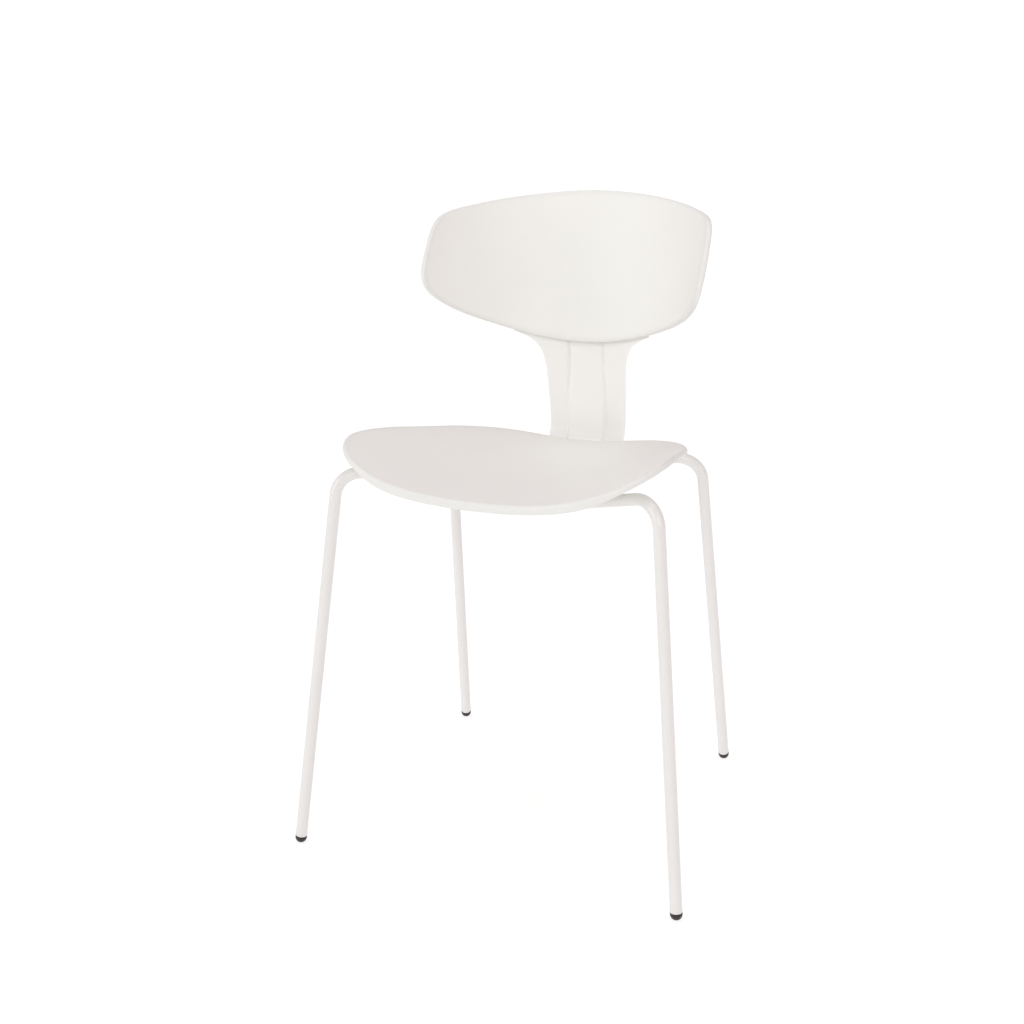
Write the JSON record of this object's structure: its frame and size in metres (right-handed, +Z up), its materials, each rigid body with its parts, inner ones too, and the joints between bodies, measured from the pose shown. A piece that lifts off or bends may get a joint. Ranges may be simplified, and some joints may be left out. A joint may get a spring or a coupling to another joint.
{
  "type": "stacking chair",
  "caption": "Armless stacking chair: dished white seat and wrapped white backrest on a pressed steel spine, with slim bent tube legs and small dark glides.",
  "frame": {"origin": "on the floor, midway between the outermost points of the base", "axes": "+Z up, the sitter faces -Y, +X is to the right when the chair is seen from its front"},
  "size_m": [0.4936, 0.4383, 0.7784],
  "materials": {
    "shell": "satin white lacquer with a faint orange peel",
    "painted_steel": "white powder coat, half gloss",
    "glide": "dark moulded plastic, scuffed at the floor",
    "buffer": "soft translucent white",
    "zinc": "bright zinc",
    "brass": "plain turned"
  },
  "bodies": {
    "root": {"seat_shell": "shell", "backrest_shell": "shell", "spine_bracket": "painted_steel", "seat_screw_1": "zinc", "seat_insert_1": "brass", "back_screw_1": "zinc", "back_insert_1": "brass", "seat_screw_2": "zinc", "seat_insert_2": "brass", "back_screw_2": "zinc", "back_insert_2": "brass", "seat_screw_3": "zinc", "seat_insert_3": "brass", "back_screw_3": "zinc", "back_insert_3": "brass", "seat_screw_4": "zinc", "seat_insert_4": "brass", "back_screw_4": "zinc", "back_insert_4": "brass", "front_leg_frame": "painted_steel", "rear_leg_frame": "painted_steel", "glide_front_left": "glide", "glide_front_right": "glide", "glide_rear_left": "glide", "glide_rear_right": "glide", "seat_buffer_front_left": "buffer", "seat_buffer_front_right": "buffer", "seat_buffer_rear_left": "buffer", "seat_buffer_rear_right": "buffer"}
  },
  "joints": []
}
